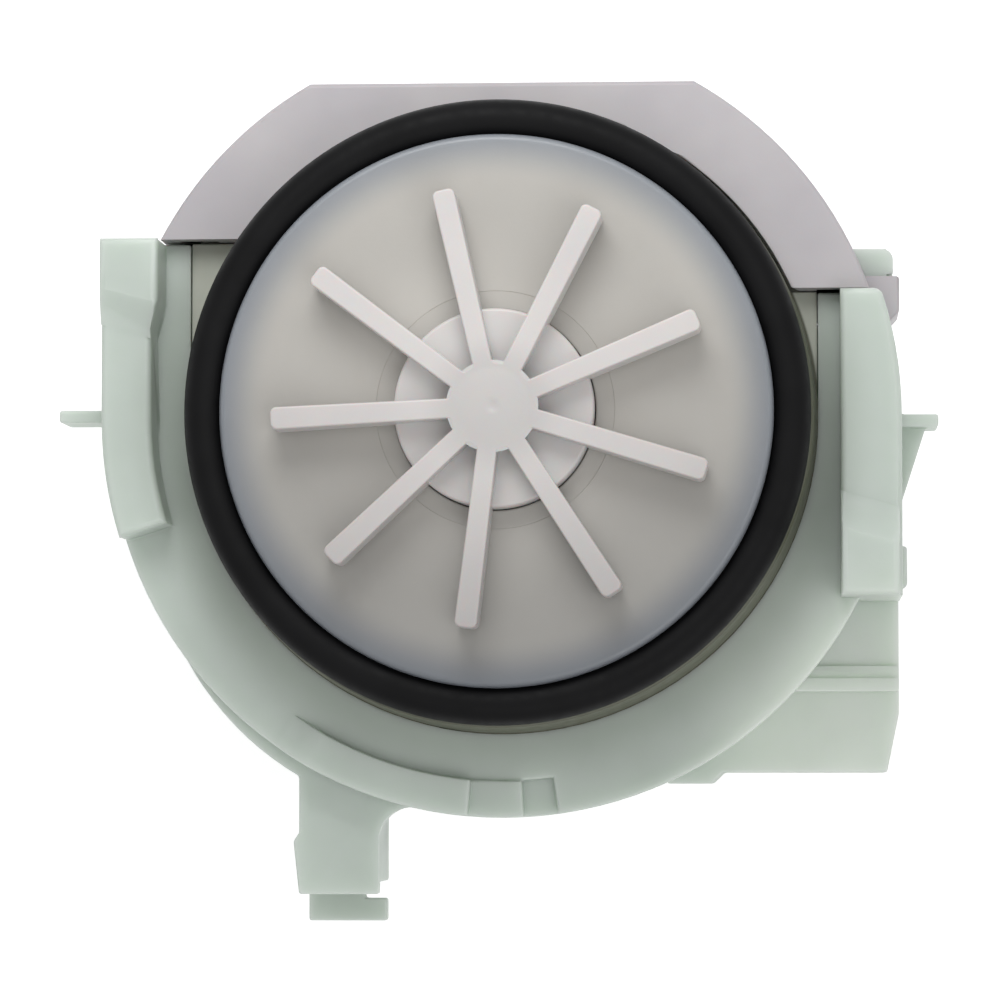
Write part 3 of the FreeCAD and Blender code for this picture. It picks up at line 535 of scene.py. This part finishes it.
def merged_copy(node):
    """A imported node's mesh in millimetres, merged and with its flat areas joined."""
    bm = bmesh.new()
    bm.from_mesh(nodes[node].data)
    bmesh.ops.scale(bm, vec=(1 / MM, 1 / MM, 1 / MM), verts=bm.verts)
    join_flats(bm)
    return bm


def at_slot(vert):
    """Whether a corner lies on the front edge of the cradle's slot."""
    return abs(vert.co.xy.length - SLOT_R) < SLOT_NEAR and vert.co.z > SLOT_FROM_Z


def soften(bm, width):
    """Rounds every sharp edge that has room for it, and returns how many there were."""
    chosen = []
    for edge in bm.edges:
        if all(at_slot(v) for v in edge.verts):
            continue
        if len(edge.link_faces) != 2 or edge.calc_length() < LENGTH_ROOM * width:
            continue
        if edge.calc_face_angle() < SHARP_FROM:
            continue
        if all(room_beside(edge, f) > SIDE_ROOM * width for f in edge.link_faces):
            chosen.append(edge)
    round_edges(bm, chosen, width, EDGE_STEPS)
    return len(chosen)


# %% [markdown]
# A mould also needs draft, or the part would not leave it. The spigot leans in by half a
# millimetre on its way to the seal, and its foot fills the slot of the cradle with a hairline
# gap. The edge of the saddle's front plate, which runs round the spigot, lies further in than in
# the solid. The two straight ends of that edge stay on their lines. On the connector socket of
# the cradle two ribs lie side by side, and the groove between them is filled, so that they read
# as one step. Each of these is a move of the corners that lie in one narrow place. The packed
# curves are made of flat facets, so a radius is matched with a little more play than a height.

# %% Helpers: the spigot, the groove of the socket and the saddle's edge
RADIUS_NEAR = 0.05
SPIGOT_R = 33.2
SPIGOT_SKIN = 0.5
SPIGOT_TOP = 9.0
SPIGOT_DRAFT = 0.5
FOOT_R = 32.6
FOOT_FULL_R = 33.28
FOOT_HALF = 0.15
SADDLE_R = 34.2
SADDLE_EDGE_R = 33.35
SADDLE_FROM_Z = 2.3
GROOVE_FROM_X = 18.0
GROOVE_Y = (-27.3, -26.5)
GROOVE_Z = -11.5
GROOVE_FILL = 0.6


def lean_spigot(bm):
    """The wall of the spigot leans in, and its foot grows to the slot of the cradle."""
    for vert in bm.verts:
        r = vert.co.xy.length
        in_wall = SPIGOT_R - SPIGOT_SKIN < r < SPIGOT_R + RADIUS_NEAR
        if in_wall and FOOT_HALF < vert.co.z < SPIGOT_TOP + RADIUS_NEAR:
            vert.co.xy *= 1 - SPIGOT_DRAFT * vert.co.z / SPIGOT_TOP / r
        elif abs(r - FOOT_R) < RADIUS_NEAR and abs(vert.co.z) < FOOT_HALF:
            vert.co.xy *= FOOT_FULL_R / r


def fill_groove(bm):
    """The two ribs of the socket meet, so the floor between them is level with the lower one."""
    for vert in bm.verts:
        beside = vert.co.x > GROOVE_FROM_X and GROOVE_Y[0] < vert.co.y < GROOVE_Y[1]
        if beside and abs(vert.co.z - GROOVE_Z) < NEAR:
            vert.co.z += GROOVE_FILL
    join_flats(bm)


def close_saddle(bm):
    """The front edge of the saddle moves in towards the spigot, its ends along their lines."""
    for vert in bm.verts:
        if abs(vert.co.xy.length - SADDLE_R) < RADIUS_NEAR and vert.co.z > SADDLE_FROM_Z:
            level = any(abs(e.other_vert(vert).co.y - vert.co.y) < NEAR for e in vert.link_edges)
            if level and abs(vert.co.x) > SADDLE_R / 2:
                vert.co.x = math.copysign(math.sqrt(SADDLE_EDGE_R**2 - vert.co.y**2), vert.co.x)
            else:
                vert.co.xy *= SADDLE_EDGE_R / SADDLE_R


# %% Dress the three large mouldings
MOULD_ROUND = 0.25
COVER_ROUND = 0.3

for node, name, slot, width, adjust in (
    ("pump_body", "body_moulding", "body_pp", MOULD_ROUND, lean_spigot),
    ("cradle_housing", "cradle_moulding", "mint_pp", MOULD_ROUND, fill_groove),
    ("stator_cover", "cover_moulding", "cover_pp", COVER_ROUND, close_saddle),
):
    moulding = merged_copy(node)
    adjust(moulding)
    count = soften(moulding, width)
    print(f"{name}: {count} edges rounded, {open_edges(moulding)} open")
    finish_piece(moulding, name, "pump", slot, [node], turn_outwards=False)

# %% [markdown]
# ## Materials
# Each finish is named for what the real one is, and all share one recipe. The colour drifts a
# little over a few millimetres to centimetres, as pigment does when the melt flows, and the gloss
# varies more finely. A grain gives the skin of the mould or the tool, and lines give turns of
# wire, sheet edges or tool marks. The glow is light that enters and scatters, as in unfilled
# polypropylene: its depth is in millimetres, and its reach says how far red, green and blue
# travel, as shares of that depth. Zones are painted light and shade. A zone lies round a point
# of the pump, as seen from the front: up to the first distance the tone stays as it is, from the
# second on it is multiplied by the zone's colour, and it passes softly between. With the second
# distance the smaller, the zone is the inside. Colours are written as the sRGB codes that a colour
# picker shows, and one function turns them into the linear values that the renderer works with.
# One small function adds every node.

# %% Helpers: colour and nodes


def colour(code):
    """An sRGB code as linear values, by the curve of the sRGB standard."""
    parts = [int(code[k : k + 2], 16) / 255 for k in (1, 3, 5)]
    linear = [p / 12.92 if p <= 0.04045 else ((p + 0.055) / 1.055) ** 2.4 for p in parts]
    return (*linear, 1.0)


def put(tree, kind, inputs=None, **settings):
    """Adds one node. Inputs are plain values or the output sockets of other nodes."""
    node = tree.nodes.new(kind)
    for key, value in settings.items():
        setattr(node, key, value)
    for key, value in (inputs or {}).items():
        if isinstance(value, bpy.types.NodeSocket):
            tree.links.new(value, node.inputs[key])
        else:
            node.inputs[key].default_value = value
    return node


def per_mm(size_mm):
    """Texture scale for a pattern of this size, because coordinates are in metres."""
    return 1 / (size_mm * MM)


# %% Helper: one finish
NOISE_LOW = 0.3
NOISE_HIGH = 0.7
DRIFT_DETAIL = 3.0
WEAR_DETAIL = 4.0
GRAIN_DETAIL = 2.0
WEAR_FINER = 4  # the gloss varies so many times as finely as the colour
WAVE_TURN = math.tau / 20  # a wave texture of scale 1 repeats after this length
FROM_THE_FRONT = (1, 1, 0)  # takes the height out of a distance
MIX_A, MIX_B, MIX_RESULT = 6, 7, 2  # a Mix node's sockets for colours, as it has more of each name


def finish(
    name,
    light,
    dark,
    drift_mm=14.0,
    rough=0.45,
    rough_spread=0.06,
    grain_mm=0.35,
    grain_depth_mm=0.006,
    metallic=0.0,
    glow=0.0,
    glow_mm=1.2,
    reach=(1.0, 0.2, 0.1),
    coat=0.0,
    shine=0.5,
    painted_shading_zones=(),
    lines=None,
    line_mm=0.5,
    line_depth_mm=0.03,
):
    """One material from two tones and what sets it apart. Lines are steps along the axis named."""
    material = bpy.data.materials.new(name)
    material.use_nodes = True
    tree = material.node_tree
    tree.nodes.clear()
    place = put(tree, "ShaderNodeTexCoord").outputs["Object"]
    drift = put(
        tree,
        "ShaderNodeTexNoise",
        {"Vector": place, "Scale": per_mm(drift_mm), "Detail": DRIFT_DETAIL},
    )
    spread = put(
        tree,
        "ShaderNodeMapRange",
        {"Value": drift.outputs["Fac"], "From Min": NOISE_LOW, "From Max": NOISE_HIGH},
    )
    tone = put(
        tree,
        "ShaderNodeMix",
        {"Factor": spread.outputs["Result"], MIX_A: colour(light), MIX_B: colour(dark)},
        data_type="RGBA",
    )
    tint = tone.outputs[MIX_RESULT]
    # Each zone is painted light and shade: it multiplies the colour by the distance from its point.
    for code, (x, y), near_mm, far_mm in painted_shading_zones:
        shift = (-x * MM, -y * MM, 0)
        moved = put(tree, "ShaderNodeVectorMath", {0: place, 1: shift}, operation="ADD")
        level = put(
            tree,
            "ShaderNodeVectorMath",
            {0: moved.outputs[0], 1: FROM_THE_FRONT},
            operation="MULTIPLY",
        )
        length = put(tree, "ShaderNodeVectorMath", {0: level.outputs[0]}, operation="LENGTH")
        share = put(
            tree,
            "ShaderNodeMapRange",
            {"Value": length.outputs["Value"], "From Min": near_mm * MM, "From Max": far_mm * MM},
            interpolation_type="SMOOTHSTEP",
        )
        painted_shading_node = put(
            tree,
            "ShaderNodeMix",
            {"Factor": share.outputs["Result"], MIX_A: tint, MIX_B: colour(code)},
            data_type="RGBA",
            blend_type="MULTIPLY",
        )
        tint = painted_shading_node.outputs[MIX_RESULT]
    wear = put(
        tree,
        "ShaderNodeTexNoise",
        {"Vector": place, "Scale": per_mm(drift_mm / WEAR_FINER), "Detail": WEAR_DETAIL},
    )
    gloss = put(
        tree,
        "ShaderNodeMapRange",
        {
            "Value": wear.outputs["Fac"],
            "From Min": NOISE_LOW,
            "From Max": NOISE_HIGH,
            "To Min": rough - rough_spread,
            "To Max": rough + rough_spread,
        },
    )
    grain = put(
        tree,
        "ShaderNodeTexNoise",
        {"Vector": place, "Scale": per_mm(grain_mm), "Detail": GRAIN_DETAIL},
    )
    bump = put(
        tree,
        "ShaderNodeBump",
        {"Height": grain.outputs["Fac"], "Distance": grain_depth_mm * MM, "Strength": 1.0},
    )
    if lines:
        wave = put(
            tree,
            "ShaderNodeTexWave",
            {"Vector": place, "Scale": WAVE_TURN * per_mm(line_mm)},
            wave_type="BANDS",
            bands_direction=lines,
        )
        bump = put(
            tree,
            "ShaderNodeBump",
            {
                "Height": wave.outputs["Fac"],
                "Distance": line_depth_mm * MM,
                "Strength": 1.0,
                "Normal": bump.outputs["Normal"],
            },
        )
    skin = put(
        tree,
        "ShaderNodeBsdfPrincipled",
        {
            "Base Color": tint,
            "Roughness": gloss.outputs["Result"],
            "Normal": bump.outputs["Normal"],
            "Metallic": metallic,
            "Subsurface Weight": glow,
            "Subsurface Scale": glow_mm * MM,
            "Subsurface Radius": reach,
            "Coat Weight": coat,
            "Specular IOR Level": shine,
        },
    )
    put(tree, "ShaderNodeOutputMaterial", {"Surface": skin.outputs["BSDF"]})
    return material


# %% The finishes
finishes = {
    # Unfilled polypropylene in mint: soft satin skin. Light sinks in, so thin plates and hooks
    # look brighter than the thick flange. Green travels furthest, as the tint lets it through.
    # Painted light: the colour is lightest round the hollow connector socket at the lower right and
    # darker further from it. Painted shade: the flange is darker beside the dark spigot, which
    # shades it.
    "mint_pp": finish(
        "mint polypropylene",
        "#D9E1D8",
        "#CFD7CE",
        glow=0.8,
        glow_mm=3.5,
        reach=(0.9, 1.0, 0.85),
        painted_shading_zones=[("#EBEDEE", (42, -38), 13, 26), ("#E5E7E4", (0, 0), 40, 34)],
    ),
    # Talc-filled polypropylene in grey: drier skin, hardly any glow.
    "cover_pp": finish(
        "grey talc-filled polypropylene", "#BAB6B8", "#B1ADB1", rough=0.5, glow=0.08
    ),
    # Glass-filled polypropylene in olive grey: dull, with a mottled flow of fibres.
    # The spigot wall and all of the body inside its radius are painted darker than the plate round
    # its foot: painted shade, as the wall lies in the shadow of the seal in front of it.
    "body_pp": finish(
        "olive glass-filled polypropylene",
        "#BABDB1",
        "#AFB2A6",
        drift_mm=6,
        rough=0.5,
        glow=0.05,
        painted_shading_zones=[("#767768", (0, 0), 33.6, 33.3)],
    ),
    # Natural polypropylene, milky: the light goes deep, so shadows on it are soft. Painted light
    # round the middle lifts the shade that the impeller casts there, painted shade darkens the disc
    # towards the bottom, away from the light at the top, and painted shade in a cool grey lies near
    # the rim, beside the black seal.
    "disc_pp": finish(
        "milky natural polypropylene",
        "#C3C0BA",
        "#BDBAB4",
        rough=0.36,
        glow=0.4,
        glow_mm=2.5,
        reach=(1.0, 0.9, 0.8),
        painted_shading_zones=[
            ("#EDEDED", (0, 0), 9, 21),
            ("#CDCED0", (0, 28), 26, 66),
            ("#BCC6D6", (0, 0), 23.8, 29.0),
        ],
    ),
    # Impeller polypropylene, near white with a warm cast. Painted shade darkens the wheel towards
    # the bottom, away from the light at the top, and the middle round the hub is also made darker.
    "impeller_pp": finish(
        "warm white polypropylene",
        "#D1CECC",
        "#C9C6C5",
        rough=0.38,
        glow=0.3,
        glow_mm=1.8,
        painted_shading_zones=[("#F0F0F0", (0, 0), 8, 4), ("#CACACA", (0, 23), 20, 60)],
    ),
    # EPDM rubber, pressed: black satin with a light bloom.
    "seal_epdm": finish(
        "pressed black EPDM rubber",
        "#0A0A0B",
        "#101011",
        drift_mm=5,
        rough=0.55,
        grain_mm=0.25,
        shine=0.1,
    ),
    # The rubbers inside the pump are dark grey and matt.
    "inner_seal_epdm": finish(
        "extruded black EPDM rubber", "#202020", "#2A2929", drift_mm=4, rough=0.55
    ),
    "seat_rubber": finish("moulded nitrile rubber", "#232425", "#2C2D2E", drift_mm=4, rough=0.6),
    "pad_rubber": finish("soft damper rubber", "#272728", "#313131", drift_mm=3, rough=0.65),
    # Pressed carbon graphite: dark grey with a faint metal shine from the graphite flakes.
    "bush_carbon": finish(
        "pressed carbon graphite", "#2C2C2E", "#3A3A3C", drift_mm=1, rough=0.4, metallic=0.3
    ),
    # Ground stainless steel: bright, with fine rings left by the grinding wheel.
    "shaft_steel": finish(
        "ground stainless steel",
        "#C9CACB",
        "#BFC0C2",
        rough=0.2,
        metallic=1.0,
        lines="Z",
        line_mm=0.25,
        line_depth_mm=0.002,
    ),
    # Punched silicon steel sheets, 0.5 mm each: the stack shows the sheet edges as fine lines.
    "core_steel": finish(
        "punched silicon steel sheets",
        "#7D8084",
        "#6B6E73",
        rough=0.42,
        metallic=1.0,
        lines="Z",
        line_mm=0.5,
    ),
    # Zinc-plated rivet wire, dull after setting.
    "rivet_steel": finish(
        "zinc-plated steel", "#B5B7B8", "#A2A5A8", rough=0.38, metallic=1.0, drift_mm=3
    ),
    # Glass-filled PBT: off-white and dull.
    "bobbin_pbt": finish("glass-filled PBT", "#E3DFD2", "#D8D3C4", rough=0.5, drift_mm=5),
    # Tinned brass pins.
    "pin_brass": finish(
        "tinned brass pin", "#C9C4B4", "#BBB5A3", rough=0.32, metallic=1.0, drift_mm=1
    ),
    # Enamelled copper wire: turns side by side, drawn 0.3 mm wide so that they show.
    "winding_copper": finish(
        "enamelled copper wire",
        "#B4622F",
        "#A45326",
        rough=0.3,
        metallic=1.0,
        coat=0.5,
        lines="X",
        line_mm=0.3,
        line_depth_mm=0.08,
    ),
    # Polyester film tape, wound with an overlap every few millimetres.
    "tape_film": finish(
        "polyester film tape",
        "#D8B548",
        "#CDA83B",
        rough=0.28,
        glow=0.1,
        lines="X",
        line_mm=5.0,
        line_depth_mm=0.05,
    ),
    # Epoxy with a mineral filler: dull and buff.
    "cutout_shell": finish("filled epoxy shell", "#CFC6AE", "#C2B89E", rough=0.45, drift_mm=3),
    # Tinned brass blades, rolled: faint lines along the rolling direction.
    "blade_brass": finish(
        "rolled tinned brass",
        "#CBC7BB",
        "#BDB8AA",
        rough=0.3,
        metallic=1.0,
        drift_mm=3,
        lines="X",
        line_mm=0.3,
        line_depth_mm=0.002,
    ),
    # Soft PVC sleeve on the leads.
    "lead_pvc": finish("white PVC sleeve", "#E2E0DA", "#D7D5CE", rough=0.4, glow=0.1, drift_mm=4),
    # Filled PPO of the rotor core.
    "sleeve_ppo": finish("grey filled PPO", "#4A4D52", "#404348", rough=0.48, drift_mm=5),
    # Sintered ferrite: dark, dry, speckled.
    "magnet_ferrite": finish(
        "sintered ferrite",
        "#45464A",
        "#393A3D",
        rough=0.62,
        drift_mm=1.2,
        grain_mm=0.4,
        grain_depth_mm=0.02,
    ),
    # Washers skived from a PTFE bar: white and waxy.
    "washer_ptfe": finish("skived PTFE", "#EFEFEA", "#E6E6E0", rough=0.35, glow=0.3, drift_mm=3),
    # Natural acetal of the driver: white, denser and glossier than the polypropylene.
    "dog_pom": finish("natural acetal", "#E8E6DE", "#DEDCD2", rough=0.33, glow=0.2, drift_mm=4),
}
print("finishes:", len(finishes))

# %% [markdown]
# ## Every piece gets its finish
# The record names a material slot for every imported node, and each new piece was given its slot
# when it was finished. So one loop serves both: it looks up the slot and assigns the finish.

# %% Assign the finishes
for entry in frame["record"]["subparts"]:
    packed = nodes[entry["node"]]
    packed.data.materials.clear()
    packed.data.materials.append(finishes[entry["material_slot"]])
for piece, slot in dressed.items():
    piece.data.materials.clear()
    piece.data.materials.append(finishes[slot])
print(len(nodes), "packed nodes and", len(dressed), "new pieces have their finish")

# %% [markdown]
# ## Stage, light and camera
# The photograph is taken nearly straight down the rotor axis on a white ground. A sheet of white
# paper lies under the pump. It is seen as white by the camera, in mirrored rays and through clear
# parts, while the light that it returns to the pump stays at the level of real paper.

# %% Floor
FLOOR_Z = packed_box[0].z
PAPER_SIZE = 3.0
PAPER_PARTS = 4
paper = bmesh.new()
bmesh.ops.create_grid(paper, x_segments=PAPER_PARTS, y_segments=PAPER_PARTS, size=PAPER_SIZE)
bmesh.ops.translate(paper, verts=paper.verts, vec=(0, 0, FLOOR_Z))
paper_mesh = bpy.data.meshes.new("studio_paper")
paper.to_mesh(paper_mesh)
paper.free()
floor = bpy.data.objects.new("studio_paper", paper_mesh)
bpy.context.scene.collection.objects.link(floor)

# %% Look of the paper
WHITE = (1, 1, 1, 1)
PAPER_WHITE = 0.45


def seen_directly(tree):
    """1 for a ray from the camera, a mirrored one or one through glass, 0 for scattered light."""
    rays = put(tree, "ShaderNodeLightPath")
    seen = rays.outputs["Is Camera Ray"]
    for kind in ("Is Glossy Ray", "Is Transmission Ray"):
        either = put(tree, "ShaderNodeMath", {0: seen, 1: rays.outputs[kind]}, operation="MAXIMUM")
        seen = either.outputs[0]
    return seen


paper_look = bpy.data.materials.new("white paper")
paper_look.use_nodes = True
tree = paper_look.node_tree
tree.nodes.clear()
seen = seen_directly(tree)
sheet = put(tree, "ShaderNodeBsdfDiffuse", {"Color": colour("#F0F0F0")})
bright = put(tree, "ShaderNodeBsdfDiffuse", {"Color": WHITE})
lift = put(tree, "ShaderNodeEmission", {"Strength": PAPER_WHITE})
bright = put(tree, "ShaderNodeAddShader", {0: bright.outputs[0], 1: lift.outputs[0]})
mixed = put(tree, "ShaderNodeMixShader", {0: seen, 1: sheet.outputs[0], 2: bright.outputs[0]})
put(tree, "ShaderNodeOutputMaterial", {"Surface": mixed.outputs[0]})
floor.data.materials.append(paper_look)

# %% [markdown]
# The light comes from three places. The white room gives the even fill. A small soft lamp close
# by, like a window beyond the upper edge, throws the soft shadows of blades and hub downwards over
# the disc. A large one far off, like a reflector beyond the lower right, keeps those shadows open.
# The power of each is worked out from the share of light that it is to give.

# %% Surroundings
FILL_LEVEL = 0.54
world = bpy.data.worlds.new("white studio")
bpy.context.scene.world = world
world.use_nodes = True
tree = world.node_tree
tree.nodes.clear()
seen = seen_directly(tree)
level = put(tree, "ShaderNodeMapRange", {"Value": seen, "To Min": FILL_LEVEL, "To Max": 1.0})
sky = put(tree, "ShaderNodeBackground", {"Color": WHITE, "Strength": level.outputs["Result"]})
put(tree, "ShaderNodeOutputWorld", {"Surface": sky.outputs["Background"]})

# %% Lamps
# Name, place and width in metres, and share of the light level.
LAMPS = (
    ("window", (-0.012, 0.105, 0.12), 0.1, 0.49),
    ("reflector", (0.35, -0.4, 0.8), 0.8, 0.26),
)


def soft_lamp(name, place, size, share):
    """A round lamp that looks at the origin and gives a surface turned to it this share.

    A lamp of power P gives such a surface P / (pi * distance squared), and white paper sends on
    a pi-th of that to each side.
    """
    lamp = bpy.data.lights.new(name, "AREA")
    lamp.shape = "DISK"
    lamp.size = size
    reach = Vector(place)
    lamp.energy = share * math.pi**2 * reach.length_squared
    thing = bpy.data.objects.new(name, lamp)
    thing.location = place
    thing.visible_camera = False
    thing.rotation_euler = reach.to_track_quat("Z", "Y").to_euler()
    bpy.context.scene.collection.objects.link(thing)


for lamp_row in LAMPS:
    soft_lamp(*lamp_row)
print("lamps:", len(LAMPS))

# %% [markdown]
# The camera stands half a metre away, a few degrees off the axis, and looks at the point that the
# photograph has in its middle. Its frame is set from that line of sight, with +Y up in the picture.

# %% Camera
EYE = Vector((30.6, -38.6, 509.0)) * MM
TARGET = Vector((0.36, -9.2, 11.0)) * MM
LENS = 173.9
SENSOR = 36
NEAREST = 0.01

lens = bpy.data.cameras.new("camera")
lens.lens = LENS
lens.sensor_width = SENSOR
lens.clip_start = NEAREST
camera = bpy.data.objects.new("camera", lens)
bpy.context.scene.collection.objects.link(camera)
back = (EYE - TARGET).normalized()
right = Vector((0, 1, 0)).cross(back).normalized()
up = back.cross(right)
turn = Matrix((right, up, back)).transposed()
camera.matrix_world = Matrix.Translation(EYE) @ turn.to_4x4()
bpy.context.scene.camera = camera
bpy.context.scene.view_settings.view_transform = "Standard"
